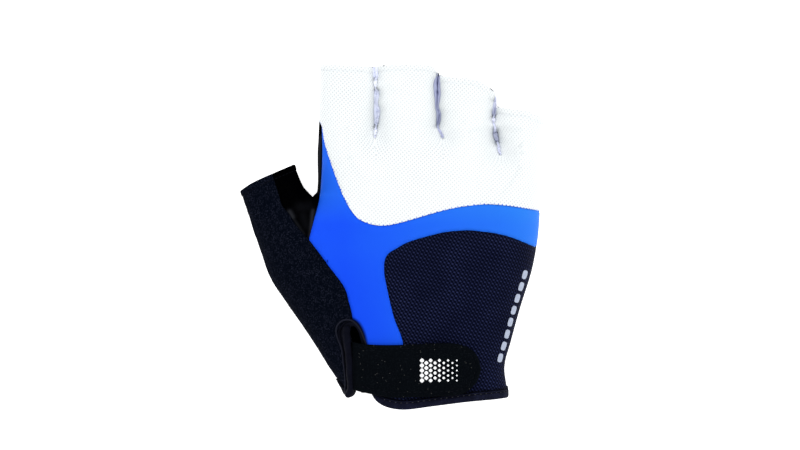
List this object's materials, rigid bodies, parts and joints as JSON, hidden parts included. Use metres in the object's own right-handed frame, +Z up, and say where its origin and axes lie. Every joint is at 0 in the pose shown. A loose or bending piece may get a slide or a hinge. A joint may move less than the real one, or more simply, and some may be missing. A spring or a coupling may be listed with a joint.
{
  "type": "cycling glove",
  "caption": "Fingerless right-hand cycling mitt with mesh back, stretch side band, towelling thumb, bound wrist slit and wrap-over pull tab, lying palm down.",
  "frame": {"origin": "middle of the glove's box, on the surface it lies on, under the flat of the palm", "axes": "+Y towards the fingertips, +X towards the little finger, +Z up out of the back of the hand"},
  "size_m": [0.1284, 0.145, 0.0262],
  "materials": {
    "palm_suede": "matt black synthetic leather",
    "air_mesh": "white perforated knit",
    "stretch_cloth": "smooth blue stretch knit with a soft sheen",
    "ribbed_mesh": "navy open mesh",
    "towelling": "black looped towelling",
    "gusset_cloth": "pale thin knit, wrinkled",
    "binding_tape": "navy woven elastic tape",
    "strap_cloth": "black brushed loop cloth",
    "hook_pad": "moulded nylon hooks"
  },
  "bodies": {
    "root": {"palm": "palm_suede", "knuckle_panel": "air_mesh", "side_band": "stretch_cloth", "back_panel": "ribbed_mesh", "thumb_panel": "towelling", "thumb_web": "palm_suede", "gusset_index_middle": "gusset_cloth", "gusset_middle_ring": "gusset_cloth", "gusset_ring_little": "gusset_cloth", "wrist_binding": "binding_tape", "wrist_strap": "strap_cloth", "strap_hook_pad": "hook_pad"}
  },
  "joints": []
}
